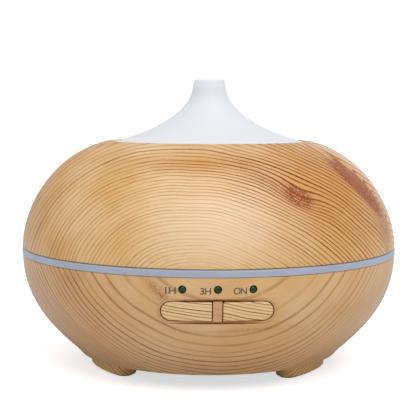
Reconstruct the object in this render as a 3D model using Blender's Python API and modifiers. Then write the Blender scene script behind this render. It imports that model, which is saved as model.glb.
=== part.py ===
"""Essential oil diffuser: a round ultrasonic mist diffuser as an assembly of its separate pieces.

Frame: metres, +Z up, the origin at the centre of the surface the diffuser stands on.  The control
panel faces -Y, and +X is on the right of someone who looks at the panel.
All sizes below are in millimetres and are turned into metres where a mesh is made.
"""

import math

import bmesh
import bpy
from mathutils import Matrix, Vector

MM = 0.001
GAP = 0.3                      # clearance between two pieces that touch

# ---- driving dimensions ----
BODY_RADIUS = 84.0             # widest radius of the shells
BODY_BOTTOM = 6.0              # flat underside of the body
BODY_BOTTOM_RADIUS = 58.66
SEAM_LOW = 50.3                # top edge of the base shell
SEAM_HIGH = 53.7               # bottom edge of the cover
RIM_RADIUS = 45.4              # top opening of the cover's outer shell
RIM_HEIGHT = 100.25
NOZZLE_RADIUS = 6.6
TOTAL_HEIGHT = 128.0
WALL = 2.4                     # wall of the outer shells
LINER_WALL = 1.5
SPOUT_WALL = 2.0

PANEL_HALF_WIDTH = 22.3        # the pill-shaped opening for the two keys
PANEL_LOW = 32.4
PANEL_HIGH = 40.9
BRIDGE_HALF_WIDTH = 1.8        # bridge of shell between the keys
KEY_GAP = 0.35
KEY_TRAVEL = 0.5
KEY_BACK = -74.0               # flat back of a key, along Y

LED_RADIUS = 1.5
LED_HEIGHT = 45.65
LED_AZIMUTHS = {"led_1h": -9.42, "led_3h": 0.0, "led_on": 9.42}

FOOT_INNER = 44.0
FOOT_OUTER = 54.0
FOOT_HALF_ANGLE = 20.0
FOOT_AZIMUTHS = (-64.2, 55.8, 175.8)
SCREW_AZIMUTHS = (-3.5, 116.5, 236.5)      # midway between the feet
SCREW_CIRCLE = 48.5

COVER_PLATE_RADIUS = 56.0
PLATE_LOW = 6.2
PLATE_HIGH = 8.0

TOWER = (34.0, -1.0)           # centre of the air tower and of the fan below it
TOWER_OUTER = 8.6
TOWER_BORE = 7.0
TOWER_TOP = 60.0
FAN_HALF = 17.0
FAN_LOW = 10.6
FAN_HIGH = 20.6

JACK_HEIGHT = 17.0             # the power inlet's axis, which points to the rear
WELL_OUTER = 8.0
WELL_BORE = 6.2
WELL_FLOOR = 60.5
WELL_MOUTH_WALL = 1.7

BOARD_LOW = 11.0
BOARD_HIGH = 12.6
BOARD_HALF_X = 30.0
BOARD_Y = (-43.5, -21.0)

FINE = 40                      # steps round the outer shells
MEDIUM = 28                    # steps round the inner mouldings
COARSE = 16
TINY = 10


# ---- scene and materials ----
for old in list(bpy.data.objects):
    bpy.data.objects.remove(old, do_unlink=True)

PARTS = bpy.data.collections.new("essential_oil_diffuser")
CUTTERS = bpy.data.collections.new("cutters")
bpy.context.scene.collection.children.link(PARTS)
bpy.context.scene.collection.children.link(CUTTERS)

FINISHES = {                   # colour, roughness, metallic
    "wood_film": ((0.72, 0.44, 0.20), 0.35, 0.0),
    "white_spout": ((0.78, 0.82, 0.87), 0.45, 0.0),
    "white_inner": ((0.86, 0.87, 0.87), 0.50, 0.0),
    "light_strip": ((0.32, 0.37, 0.47), 0.35, 0.0),
    "green_lens": ((0.02, 0.10, 0.05), 0.20, 0.0),
    "grey_base": ((0.10, 0.10, 0.11), 0.60, 0.0),
    "rubber": ((0.04, 0.04, 0.04), 0.85, 0.0),
    "circuit_board": ((0.02, 0.16, 0.07), 0.45, 0.0),
    "black_plastic": ((0.02, 0.02, 0.02), 0.50, 0.0),
    "aluminium": ((0.75, 0.75, 0.77), 0.35, 1.0),
    "steel": ((0.60, 0.60, 0.62), 0.35, 1.0),
    "brass": ((0.75, 0.58, 0.28), 0.30, 1.0),
    "copper": ((0.70, 0.35, 0.20), 0.35, 1.0),
    "white_led": ((0.90, 0.88, 0.70), 0.30, 0.0),
    "wire_red": ((0.55, 0.03, 0.03), 0.50, 0.0),
    "wire_black": ((0.03, 0.03, 0.03), 0.50, 0.0),
    "wire_white": ((0.80, 0.80, 0.78), 0.50, 0.0),
}


def finish(name):
    """The Principled material of that name, made once."""
    material = bpy.data.materials.get(name)
    if material is None:
        colour, roughness, metallic = FINISHES[name]
        material = bpy.data.materials.new(name)
        material.use_nodes = True
        shader = material.node_tree.nodes["Principled BSDF"]
        shader.inputs["Base Color"].default_value = (*colour, 1.0)
        shader.inputs["Roughness"].default_value = roughness
        shader.inputs["Metallic"].default_value = metallic
    return material


# ---- making shapes ----
def place(name, mesh, material):
    """Put a mesh in the scene: as a part when it has a material, else as a cutter."""
    thing = bpy.data.objects.new(name, mesh)
    if material is None:
        CUTTERS.objects.link(thing)
        thing.hide_render = True
        thing.display_type = "WIRE"
    else:
        PARTS.objects.link(thing)
        mesh.materials.append(finish(material))
    return thing


def turned(name, profile, material=None, steps=MEDIUM):
    """A closed profile of (radius, height) points, turned about its own vertical axis."""
    count = len(profile)
    on_axis = profile[0][0] == 0.0 and profile[-1][0] == 0.0
    edges = [(i, i + 1) for i in range(count - 1)]
    if not on_axis:
        edges.append((count - 1, 0))
    mesh = bpy.data.meshes.new(name)
    mesh.from_pydata([(r * MM, 0.0, z * MM) for r, z in profile], edges, [])
    thing = place(name, mesh, material)
    screw = thing.modifiers.new("Turn", "SCREW")
    screw.axis = "Z"
    screw.angle = 2.0 * math.pi
    screw.steps = steps
    screw.render_steps = steps
    screw.use_merge_vertices = True
    screw.merge_threshold = 0.00001
    screw.use_smooth_shade = True
    return thing


def cylinder(name, radius, low, high, centre=(0.0, 0.0), material=None, steps=COARSE, axis="Z"):
    """A rod between two heights, or between two values of Y when its axis is Y.

    centre is (x, y) for an upright rod and (x, z) for one along Y.
    """
    mesh = bpy.data.meshes.new(name)
    shape = bmesh.new()
    bmesh.ops.create_cone(shape, cap_ends=True, segments=steps, radius1=radius * MM,
                          radius2=radius * MM, depth=(high - low) * MM)
    shape.to_mesh(mesh)
    shape.free()
    thing = place(name, mesh, material)
    middle = (low + high) / 2.0
    if axis == "Z":
        thing.location = (centre[0] * MM, centre[1] * MM, middle * MM)
    else:
        thing.rotation_euler = (math.pi / 2.0, 0.0, 0.0)
        thing.location = (centre[0] * MM, middle * MM, centre[1] * MM)
    return thing


def box(name, low, high, material=None, bevel=0.0):
    """A box between two corners, with rounded edges when bevel is given."""
    mesh = bpy.data.meshes.new(name)
    shape = bmesh.new()
    size = [(b - a) * MM for a, b in zip(low, high)]
    bmesh.ops.create_cube(shape, size=1.0, matrix=Matrix.Diagonal((*size, 1.0)))
    shape.to_mesh(mesh)
    shape.free()
    thing = place(name, mesh, material)
    thing.location = [(a + b) / 2.0 * MM for a, b in zip(low, high)]
    if bevel:
        rounding = thing.modifiers.new("Rounding", "BEVEL")
        rounding.width = bevel * MM
        rounding.segments = 1
    return thing


def plate(name, outline, low, high, material=None, upright=False):
    """A flat outline given thickness: along Z, or along Y when upright.

    The outline is (x, y), or (x, z) when upright, and the thickness runs from low to high.
    """
    curve = bpy.data.curves.new(name, "CURVE")
    curve.dimensions = "2D"
    curve.fill_mode = "BOTH"
    curve.extrude = (high - low) / 2.0 * MM
    spline = curve.splines.new("POLY")
    spline.points.add(len(outline) - 1)
    for point, (x, y) in zip(spline.points, outline):
        point.co = (x * MM, y * MM, 0.0, 1.0)
    spline.use_cyclic_u = True
    guide = bpy.data.objects.new(name, curve)
    bpy.context.scene.collection.objects.link(guide)
    middle = (low + high) / 2.0 * MM
    if upright:
        guide.rotation_euler = (math.pi / 2.0, 0.0, 0.0)
        guide.location = (0.0, middle, 0.0)
    else:
        guide.location = (0.0, 0.0, middle)
    bpy.context.view_layer.update()
    mesh = bpy.data.meshes.new_from_object(guide.evaluated_get(bpy.context.evaluated_depsgraph_get()))
    mesh.name = name
    shape = bmesh.new()
    shape.from_mesh(mesh)
    bmesh.ops.remove_doubles(shape, verts=shape.verts, dist=0.000001)
    bmesh.ops.recalc_face_normals(shape, faces=shape.faces)
    shape.to_mesh(mesh)
    shape.free()
    matrix = guide.matrix_world.copy()
    bpy.data.objects.remove(guide, do_unlink=True)
    bpy.data.curves.remove(curve)
    thing = place(name, mesh, material)
    thing.matrix_world = matrix
    return thing


def lead(name, route, radius, material):
    """An insulated lead along a chosen route."""
    curve = bpy.data.curves.new(name, "CURVE")
    curve.dimensions = "3D"
    curve.bevel_depth = radius * MM
    curve.bevel_resolution = 2
    curve.use_fill_caps = True
    spline = curve.splines.new("POLY")
    spline.points.add(len(route) - 1)
    for point, place_at in zip(spline.points, route):
        point.co = (*[value * MM for value in place_at], 1.0)
    curve.materials.append(finish(material))
    thing = bpy.data.objects.new(name, curve)
    PARTS.objects.link(thing)
    return thing


def combine(thing, other, operation):
    """One exact Boolean of thing with another object."""
    step = thing.modifiers.new(operation.title(), "BOOLEAN")
    step.operation = operation
    step.object = other
    step.solver = "EXACT"


def cut(thing, *others):
    for other in others:
        combine(thing, other, "DIFFERENCE")


def join(thing, *others):
    for other in others:
        combine(thing, other, "UNION")


def turn_about_axis(thing, azimuth):
    """Swing a piece made in front of the panel round the diffuser's axis, to the right."""
    thing.rotation_euler.z = math.radians(azimuth)


def around(azimuth, radius):
    """The point at that azimuth, counted from the panel towards +X."""
    angle = math.radians(azimuth)
    return radius * math.sin(angle), -radius * math.cos(angle)


# ---- outlines ----
def bezier(start, first, second, end, count):
    """count points of a cubic curve of (radius, height), both ends included."""
    points = []
    for i in range(count):
        t = i / (count - 1)
        weights = ((1 - t) ** 3, 3 * (1 - t) ** 2 * t, 3 * (1 - t) * t * t, t ** 3)
        points.append(tuple(sum(w * p[k] for w, p in zip(weights, (start, first, second, end)))
                            for k in range(2)))
    return points


def inset(points, distance):
    """A profile that runs down an outer side, moved inwards by a distance."""
    moved = []
    for i, (r, z) in enumerate(points):
        before = Vector(points[max(i - 1, 0)])
        after = Vector(points[min(i + 1, len(points) - 1)])
        along = (after - before).normalized()
        moved.append((r + along.y * distance, z - along.x * distance))
    return moved


BASE_OUTLINE = bezier((BODY_RADIUS, SEAM_LOW), (BODY_RADIUS, 24.0), (62.4, 11.5),
                      (BODY_BOTTOM_RADIUS, BODY_BOTTOM), 9)
COVER_OUTLINE = bezier((RIM_RADIUS, RIM_HEIGHT), (71.4, 94.4), (BODY_RADIUS, 69.5),
                       (BODY_RADIUS, SEAM_HIGH), 10)
SPOUT_OUTLINE = bezier((NOZZLE_RADIUS, 126.0), (9.1, 124.4), (2.6, 111.3), (44.0, 98.4), 11)


def half_pill(side, grow=0.0):
    """Outline of one half of the pill-shaped panel in (x, z); side is -1 or 1."""
    low = PANEL_LOW - grow
    high = PANEL_HIGH + grow
    radius = (high - low) / 2.0
    centre_x = PANEL_HALF_WIDTH + grow - radius
    centre_z = (low + high) / 2.0
    points = [(BRIDGE_HALF_WIDTH - grow, low)]
    for i in range(9):
        angle = math.radians(-90.0 + 22.5 * i)
        points.append((centre_x + radius * math.cos(angle), centre_z + radius * math.sin(angle)))
    points.append((BRIDGE_HALF_WIDTH - grow, high))
    return [(side * x, z) for x, z in points]


def arc_bar(inner, outer, half_angle):
    """Outline of a bar bent round the axis, with round ends, centred in front of the panel."""
    middle = (inner + outer) / 2.0
    end_radius = (outer - inner) / 2.0
    end_angle = half_angle - math.degrees(end_radius / middle)
    points = [around(-end_angle + 2.0 * end_angle * i / 6, outer) for i in range(7)]
    for side, start in ((1, 0), (-1, 180)):
        if side < 0:
            points += [around(end_angle - 2.0 * end_angle * i / 6, inner) for i in range(7)]
        cx, cy = around(side * end_angle, middle)
        turn = math.radians(-90.0 + side * end_angle + start)
        for i in range(1, 4):
            angle = turn + math.pi * i / 4
            points.append((cx + end_radius * math.cos(angle), cy + end_radius * math.sin(angle)))
    return points


# ---- the lift-off cover ----
def make_cover():
    """The wood-look shell, its white liner, the spout that closes its top and the splash guard."""
    inner = inset(COVER_OUTLINE, WALL)
    rim_inner = RIM_RADIUS - 1.0
    shell = [(rim_inner, RIM_HEIGHT - 0.7), (rim_inner + 0.3, RIM_HEIGHT - 0.2)]
    shell += COVER_OUTLINE
    shell += [(BODY_RADIUS - 0.25, SEAM_HIGH - 0.25), (BODY_RADIUS - WALL, SEAM_HIGH - 0.25)]
    shell += [p for p in reversed(inner) if p[0] > rim_inner + 1.5]
    shell += [(rim_inner, RIM_HEIGHT - WALL)]
    turned("top_shell", shell, "wood_film", FINE)

    outer = [p for p in inset(COVER_OUTLINE, WALL + 0.5) if p[0] > 50.0 and p[1] > 58.0]
    inside = [p for p in inset(COVER_OUTLINE, WALL + 0.5 + LINER_WALL) if p[0] > 49.0 and p[1] > 63.0]
    edge = BODY_RADIUS - WALL - 0.7
    liner = outer + [(edge, 57.5), (edge, 55.6), (70.6, 55.6), (70.6, 49.8), (69.1, 49.8),
                     (69.1, 57.6), (77.0, 60.0)]
    liner += list(reversed(inside))
    turned("cover_liner", liner, "white_inner", MEDIUM)

    bore = inset(SPOUT_OUTLINE, SPOUT_WALL)[:-1]
    lip = [(NOZZLE_RADIUS - SPOUT_WALL, 127.0), (4.8, 127.7), (5.3, TOTAL_HEIGHT), (5.9, 127.85),
           (6.45, 127.2)]
    flange = [(44.0, 96.2), (49.0, 96.0), (49.0, 94.6), (41.0, 94.6)]
    turned("spout_cone", lip + SPOUT_OUTLINE + flange + list(reversed(bore)), "white_spout", MEDIUM)

    points = []
    for i in range(48):
        angle = 2.0 * math.pi * i / 48
        reach = max(0.0, math.cos(3.0 * angle)) ** 6
        radius = 13.0 + 33.0 * reach
        points.append((radius * math.cos(angle), radius * math.sin(angle)))
    plate("splash_guard", points, 92.8, 94.3, "white_inner")


# ---- the base's outer shell and light strip ----
def inside_of_base(distance):
    """The base outline moved inwards, with fewer points because no one sees it."""
    moved = inset(BASE_OUTLINE, distance)
    return moved[:2] + moved[2::2]


def solid_of_base(name, outline):
    """The turned solid below an outline, for fitting the keys to the shell."""
    return turned(name, [(0.0, outline[0][1])] + outline + [(0.0, outline[-1][1])], None, FINE)


def make_base_shell():
    """The lower wood-look shell with the power inlet's well and the panel's openings."""
    shell_profile = [(0.0, SEAM_LOW)] + BASE_OUTLINE + [(0.0, BODY_BOTTOM)]
    shell = turned("base_shell", shell_profile, "wood_film", FINE)

    inside = [p for p in inside_of_base(WALL) if p[1] > 11.0]
    cavity_profile = [(0.0, 60.0), (BODY_RADIUS - WALL, 60.0)] + inside
    cavity_profile += [(59.4, 10.3), (54.0, 10.3), (54.0, 8.3), (56.5, 8.3), (56.5, 2.0), (0.0, 2.0)]
    cavity = turned("base_cavity", cavity_profile, None, FINE)
    cut(cavity, cylinder("well_wall", WELL_OUTER, WELL_FLOOR, 95.0, (0.0, JACK_HEIGHT), axis="Y"))
    for side in (-1, 1):
        cut(cavity, cylinder(f"panel_post_{side}", 2.2, -95.0, -68.3, (side * 25.8, 36.5),
                             steps=TINY, axis="Y"))
    cut(shell, cavity)
    cut(shell, cylinder("well_bore", WELL_BORE, WELL_FLOOR + WELL_MOUTH_WALL, 95.0,
                        (0.0, JACK_HEIGHT), steps=24, axis="Y"))
    cut(shell, cylinder("well_mouth", 3.6, 58.0, 64.0, (0.0, JACK_HEIGHT), axis="Y"))
    for side in (-1, 1):
        cut(shell, plate(f"key_opening_{side}", half_pill(side), -95.0, -71.0, upright=True))
    for name, azimuth in LED_AZIMUTHS.items():
        hole = cylinder(f"{name}_hole", LED_RADIUS + GAP, 76.0, 90.0, steps=16)
        hole.rotation_euler = (math.pi / 2.0, 0.0, math.radians(azimuth))
        x, y = around(azimuth, 83.0)
        hole.location = (x * MM, y * MM, LED_HEIGHT * MM)
        cut(shell, hole)


def make_light_ring():
    """The strip between the shells, with a step that locates it in the base shell."""
    profile = [(83.0, 53.1), (84.2, 51.0), (84.2, 50.6), (81.1, 50.6), (81.1, 47.6), (79.2, 47.6),
               (79.2, 51.6), (74.0, 51.6), (74.0, 53.1)]
    turned("light_ring", profile, "light_strip", FINE)


# ---- keys, switches and indicator lights ----
def make_keys():
    """The two keys, flush with the shell, and the switch and plunger behind each one."""
    for side, purpose in ((-1, "light"), (1, "mist")):
        body = solid_of_base(f"{purpose}_key_surface", BASE_OUTLINE)
        combine(body, plate(f"{purpose}_key_outline", half_pill(side, -KEY_GAP), -95.0, KEY_BACK - 1.0,
                            upright=True), "INTERSECT")
        key = plate(f"{purpose}_button", half_pill(side, 0.85), -95.0, KEY_BACK, "wood_film",
                    upright=True)
        combine(key, solid_of_base(f"{purpose}_key_flange", inside_of_base(WALL + GAP)), "INTERSECT")
        join(key, body)

        centre = (side * 12.0, (PANEL_LOW + PANEL_HIGH) / 2.0)
        plunger_tip = KEY_BACK + GAP
        switch = box(f"{purpose}_switch", (centre[0] - 3.0, -71.8, centre[1] - 3.0),
                     (centre[0] + 3.0, -68.3, centre[1] + 3.0), "black_plastic")
        cut(switch, cylinder(f"{purpose}_switch_hole", 2.0, -75.0, -68.9, centre, axis="Y"))
        cylinder(f"{purpose}_plunger", 1.7, plunger_tip, -69.7, centre, "steel", axis="Y")

    box("panel_board", (-28.0, -68.0, 30.0), (28.0, -66.4, 42.5), "circuit_board")


def make_indicator_lights():
    """Three round lamps pointing outwards, and the holder behind them."""
    tip = 84.2
    shoulder = tip - LED_RADIUS
    dome = []
    for i in range(4):
        angle = math.radians(90.0 - 22.5 * i)
        across = LED_RADIUS * math.cos(angle) if i else 0.0
        dome.append((across, shoulder + LED_RADIUS * math.sin(angle)))
    profile = dome + [(LED_RADIUS, shoulder), (LED_RADIUS, 79.2), (1.75, 79.2), (1.75, 78.4),
                      (0.0, 78.4)]
    for name, azimuth in LED_AZIMUTHS.items():
        led = turned(name, profile, "green_lens", TINY)
        led.rotation_euler = (math.pi / 2.0, 0.0, math.radians(azimuth))
        led.location = (0.0, 0.0, LED_HEIGHT * MM)
    box("led_holder", (-17.0, -76.6, 43.2), (17.0, -75.3, 47.2), "black_plastic")


# ---- water tank, air path and transducer ----
def make_tank():
    """The tank with its screw posts, the air tower that stands in it and the tower's cap."""
    profile = [(80.6, 55.2), (80.6, 53.4), (73.0, 53.4), (73.0, 47.7), (74.7, 47.7), (74.7, 46.2),
               (71.5, 46.2), (66.2, 43.1), (64.9, 41.0), (62.9, 31.2), (59.9, 26.6), (55.0, 24.4),
               (16.2, 22.5), (16.2, 18.0), (11.5, 18.0), (11.5, 21.3), (8.2, 21.3), (8.2, 22.9),
               (12.0, 23.6), (14.0, 24.2), (54.5, 26.2), (58.6, 28.0), (61.0, 31.5), (63.0, 41.6),
               (64.6, 44.2), (69.6, 47.4), (71.2, 49.2), (71.2, 55.2)]
    tank = turned("water_tank", profile, "white_inner", MEDIUM)
    cut(tank, cylinder("tower_hole", TOWER_OUTER + GAP, 15.0, 40.0, TOWER, steps=24))
    for i, azimuth in enumerate(SCREW_AZIMUTHS):
        spot = around(azimuth, SCREW_CIRCLE)
        join(tank, cylinder(f"tank_post_{i}", 3.8, 10.6, 24.6, spot, steps=16))
        cut(tank, cylinder(f"tank_post_hole_{i}", 1.7, 9.0, 20.8, spot, steps=TINY))
    for i in range(3):
        spot = around(120.0 * i + 180.0, 13.8)
        cut(tank, cylinder(f"clamp_screw_hole_{i}", 1.4, 17.0, 21.0, spot, steps=TINY))

    # the tower stands in the tank's hole on a flange that covers the fan
    tube = [(TOWER_OUTER, TOWER_TOP), (TOWER_OUTER, 22.3), (16.5, 22.3), (16.5, 20.9),
            (TOWER_BORE, 20.9), (TOWER_BORE, TOWER_TOP)]
    tower = turned("air_tower", tube, "white_inner", 24)
    tower.location = (TOWER[0] * MM, TOWER[1] * MM, 0.0)
    cap = cylinder("air_cap", 11.5, 64.5, 66.0, TOWER, "white_inner", steps=24)
    for i in range(3):
        x, y = around(120.0 * i, 5.2)
        spot = (TOWER[0] + x, TOWER[1] + y)
        join(cap, cylinder(f"air_cap_leg_{i}", 1.3, 54.0, 65.2, spot, steps=8))


def make_transducer():
    """The vibrating disc in its rubber seal, held up by a clamp and three screws."""
    cylinder("transducer_disc", 10.0, 19.4, 20.1, material="steel")
    seal = [(11.2, 21.0), (11.2, 18.3), (8.6, 18.3), (8.6, 19.1), (10.3, 19.1), (10.3, 20.4),
            (8.6, 20.4), (8.6, 21.0)]
    turned("transducer_seal", seal, "rubber", COARSE)
    ring = [(16.0, 17.7), (16.0, 16.2), (7.5, 16.2), (7.5, 17.7)]
    clamp = turned("transducer_clamp", ring, "steel", COARSE)
    for i in range(3):
        spot = around(120.0 * i + 180.0, 13.8)
        cut(clamp, cylinder(f"clamp_hole_{i}", 1.5, 15.0, 19.0, spot, steps=TINY))
        screw(f"clamp_screw_{i + 1}", spot, 14.6, 15.9, 20.7, 2.2, 1.1)


def screw(name, spot, head_low, head_high, tip, head_radius, shank_radius):
    """A pan-head screw that points up."""
    profile = [(0.0, tip), (shank_radius, tip), (shank_radius, head_high), (head_radius, head_high),
               (head_radius, head_low + 0.3), (head_radius - 0.5, head_low), (0.0, head_low)]
    thing = turned(name, profile, "steel", 8)
    thing.location = (spot[0] * MM, spot[1] * MM, 0.0)
    return thing


# ---- underside ----
def make_bottom_cover():
    """The underside's plate with its bosses and air slots, and the screws that hold it."""
    cover = cylinder("bottom_cover", COVER_PLATE_RADIUS, PLATE_LOW, PLATE_HIGH, material="grey_base",
                     steps=MEDIUM)
    seat = PLATE_HIGH - 0.5
    for i, azimuth in enumerate(SCREW_AZIMUTHS):
        spot = around(azimuth, SCREW_CIRCLE)
        join(cover, cylinder(f"screw_boss_{i}", 5.0, seat, 10.3, spot))
        cut(cover, cylinder(f"screw_recess_{i}", 3.2, 5.0, 9.0, spot),
            cylinder(f"screw_hole_{i}", 1.8, 5.0, 12.0, spot, steps=TINY))
        screw(f"cover_screw_{i + 1}", spot, 6.9, 8.7, 20.0, 2.8, 1.4)
    for i, (x, y) in enumerate(((-27.0, -40.5), (27.0, -40.5), (-27.0, -24.0), (27.0, -24.0))):
        join(cover, cylinder(f"board_post_{i}", 2.5, seat, BOARD_LOW - GAP, (x, y), steps=TINY))
    for i, (x, y) in enumerate(((-14.5, -14.5), (14.5, -14.5), (-14.5, 14.5), (14.5, 14.5))):
        spot = (TOWER[0] + x, TOWER[1] + y)
        join(cover, cylinder(f"fan_post_{i}", 2.2, seat, FAN_LOW - GAP, spot, steps=8))
    join(cover, box("jack_cradle", (-6.0, 46.0, seat), (6.0, 52.5, 12.1)))
    for i in range(7):
        offset = 3.5 * (i - 3)
        half = math.sqrt(12.0 ** 2 - offset ** 2)
        x, y = TOWER[0], TOWER[1] + offset
        cut(cover, box(f"air_slot_{i}", (x - half, y - 0.9, 4.0), (x + half, y + 0.9, 9.0)))
    for i, (x, y) in enumerate(((27.0, -24.0), (-27.0, -40.5))):
        cut(cover, cylinder(f"board_screw_hole_{i}", 1.4, 8.4, 12.0, (x, y), steps=8))


def make_feet():
    """Three arc-shaped feet, each with a rubber pad let into its underside."""
    foot_outline = arc_bar(FOOT_INNER, FOOT_OUTER, FOOT_HALF_ANGLE)
    pocket_outline = arc_bar(FOOT_INNER + 1.0, FOOT_OUTER - 1.0, FOOT_HALF_ANGLE - 1.2)
    pad_outline = arc_bar(FOOT_INNER + 1.3, FOOT_OUTER - 1.3, FOOT_HALF_ANGLE - 1.6)
    for i, azimuth in enumerate(FOOT_AZIMUTHS):
        foot = plate(f"foot_{i + 1}", foot_outline, 0.6, PLATE_LOW - GAP, "wood_film")
        pocket = plate(f"foot_pocket_{i + 1}", pocket_outline, -1.0, 2.0)
        pad = plate(f"foot_pad_{i + 1}", pad_outline, 0.0, 1.7, "rubber")
        for piece in (foot, pocket, pad):
            turn_about_axis(piece, azimuth)
        cut(foot, pocket)


# ---- electronics ----
def make_light_board():
    """The ring-shaped board below the strip and its six lamps."""
    low = 48.0
    high = 49.3
    profile = [(78.6, high), (78.6, low), (73.4, low), (73.4, high)]
    turned("light_board", profile, "circuit_board", MEDIUM)
    for i in range(6):
        led = box(f"ring_led_{i + 1}", (-1.75, -77.4, high + GAP), (1.75, -74.6, high + GAP + 1.0),
                  "white_led")
        centre = Vector(around(30.0 + 60.0 * i, 76.0))
        led.location.x = centre.x * MM
        led.location.y = centre.y * MM
        turn_about_axis(led, 30.0 + 60.0 * i)


def make_main_board():
    """The driver board with its two screws and the largest components on it."""
    board = box("main_board", (-BOARD_HALF_X, BOARD_Y[0], BOARD_LOW),
                (BOARD_HALF_X, BOARD_Y[1], BOARD_HIGH), "circuit_board")
    for i, spot in enumerate(((27.0, -24.0), (-27.0, -40.5))):
        cut(board, cylinder(f"main_board_hole_{i}", 1.5, 9.0, 15.0, spot, steps=TINY))
        fastener = screw(f"board_screw_{i + 1}", spot, -14.4, -12.9, -8.8, 2.4, 1.1)
        fastener.rotation_euler = (math.pi, 0.0, 0.0)
    seat = BOARD_HIGH + GAP
    sink = box("driver_heatsink", (-22.0, -32.0, seat), (-8.0, -27.0, 20.5), "aluminium")
    for i in range(3):
        x = -18.5 + 3.5 * i
        cut(sink, box(f"heatsink_slot_{i}", (x - 0.9, -31.0, 11.0), (x + 0.9, -25.0, 22.0)))
    box("driver_transistor", (-19.5, -26.3, seat), (-10.5, -22.5, 21.0), "black_plastic", 0.4)
    drum = [(0.0, 20.0), (4.5, 20.0), (4.5, 18.6), (3.6, 18.6), (3.6, 14.3), (4.5, 14.3), (4.5, seat),
            (0.0, seat)]
    inductor = turned("boost_inductor", drum, "copper", TINY)
    inductor.location = (0.0, -31.5 * MM, 0.0)
    can = [(0.0, 20.5), (2.7, 20.5), (3.2, 20.1), (3.2, seat), (0.0, seat)]
    capacitor = turned("smoothing_capacitor", can, "aluminium", TINY)
    capacitor.location = (8.5 * MM, -37.5 * MM, 0.0)
    box("control_chip", (10.0, -31.5, seat), (18.0, -26.0, seat + 1.6), "black_plastic", 0.2)


def make_fan():
    """The fan that blows up the tower: a frame with an axle, and a rotor of seven blades."""
    x, y = TOWER
    frame = box("fan_frame", (x - FAN_HALF, y - FAN_HALF, FAN_LOW),
                (x + FAN_HALF, y + FAN_HALF, FAN_HIGH), "black_plastic")
    cut(frame, cylinder("fan_throat", 15.6, 9.0, 22.0, TOWER, steps=32))
    join(frame, cylinder("fan_motor_plate", 6.0, FAN_LOW, 12.0, TOWER))
    for i in range(3):
        strut = box(f"fan_strut_{i}", (-1.0, -16.2, FAN_LOW), (1.0, -4.0, 12.0))
        centre = Vector(around(120.0 * i, 10.1))
        strut.location.x = (x + centre.x) * MM
        strut.location.y = (y + centre.y) * MM
        turn_about_axis(strut, 120.0 * i)
        join(frame, strut)
    join(frame, cylinder("fan_axle", 1.2, 11.5, 17.5, TOWER, steps=TINY))

    hub_profile = [(0.0, 20.0), (6.7, 20.0), (7.5, 19.2), (7.5, 12.6), (1.6, 12.6), (1.6, 17.9),
                   (0.0, 17.9)]
    rotor = turned("fan_rotor", hub_profile, "black_plastic", COARSE)
    rotor.location = (x * MM, y * MM, 0.0)
    for i in range(7):
        angle = 360.0 / 7 * i
        blade = box(f"fan_blade_{i}", (-3.4, -14.7, 15.95), (3.4, -6.9, 16.75))
        centre = Vector(around(angle, 10.8))
        blade.location.x = (x + centre.x) * MM
        blade.location.y = (y + centre.y) * MM
        blade.rotation_euler = (0.0, math.radians(40.0), math.radians(angle))
        join(rotor, blade)


def make_power_inlet():
    """The socket for the adapter's plug and its centre pin."""
    centre = (0.0, JACK_HEIGHT)
    front = WELL_FLOOR - GAP
    jack = box("dc_jack", (-4.8, 47.0, JACK_HEIGHT - 4.6), (4.8, front, JACK_HEIGHT + 4.6),
               "black_plastic")
    join(jack, cylinder("jack_nose", 3.3, 58.0, WELL_FLOOR + WELL_MOUTH_WALL, centre, axis="Y"))
    cut(jack, cylinder("jack_bore", 2.8, 52.0, 70.0, centre, axis="Y"),
        cylinder("jack_pin_hole", 1.3, 50.0, 54.0, centre, steps=TINY, axis="Y"))
    cylinder("dc_jack_pin", 1.0, 50.3, 61.4, centre, "brass", steps=TINY, axis="Y")


def make_leads():
    """The internal leads, each along the way it is led between two of the pieces."""
    to_fan = [(24.0, -18.3, 17.0), (24.0, -20.4, 17.1), (23.7, -22.6, 16.2), (23.5, -23.8, 14.6),
              (23.5, -24.0, 12.9)]
    to_transducer = [(-3.0, -2.0, 19.1), (-3.0, -2.1, 15.5), (-3.3, -3.6, 13.2), (-4.6, -8.0, 12.2),
                     (-6.0, -14.0, 12.6), (-7.0, -19.0, 14.2), (-6.5, -22.4, 14.9),
                     (-6.0, -24.2, 14.2), (-6.0, -24.5, 12.9)]
    to_panel = [(-10.0, -67.2, 29.7), (-10.0, -67.0, 26.5), (-10.0, -65.0, 22.0),
                (-10.2, -60.0, 18.4), (-10.4, -52.0, 16.2), (-10.5, -45.0, 15.6),
                (-10.5, -41.4, 15.4), (-10.5, -40.3, 14.8), (-10.5, -40.2, 12.9)]
    to_ring = [(-77.0, 0.0, 47.7), (-76.6, -0.5, 42.5), (-74.2, -2.5, 34.5), (-69.0, -6.5, 26.5),
               (-60.0, -13.5, 19.6), (-48.0, -21.5, 16.2), (-36.0, -27.5, 15.0),
               (-28.0, -30.0, 15.0), (-25.4, -30.6, 14.5), (-25.0, -30.8, 12.9)]
    to_inlet = [(-2.0, 46.7, 17.5), (-2.6, 44.0, 17.0), (-7.0, 40.0, 14.6), (-17.0, 34.0, 12.2),
                (-24.0, 22.0, 11.4), (-26.0, 8.0, 11.2), (-26.0, -6.0, 11.4), (-25.0, -16.0, 13.2),
                (-24.4, -21.5, 15.2), (-24.0, -25.0, 15.2), (-24.0, -26.0, 14.4),
                (-24.0, -26.1, 12.9)]
    lead("fan_lead", to_fan, 0.8, "wire_red")
    lead("transducer_lead", to_transducer, 0.8, "wire_black")
    lead("panel_lead", to_panel, 0.9, "wire_white")
    lead("ring_lead", to_ring, 0.8, "wire_white")
    lead("power_lead", to_inlet, 0.9, "wire_red")


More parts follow.
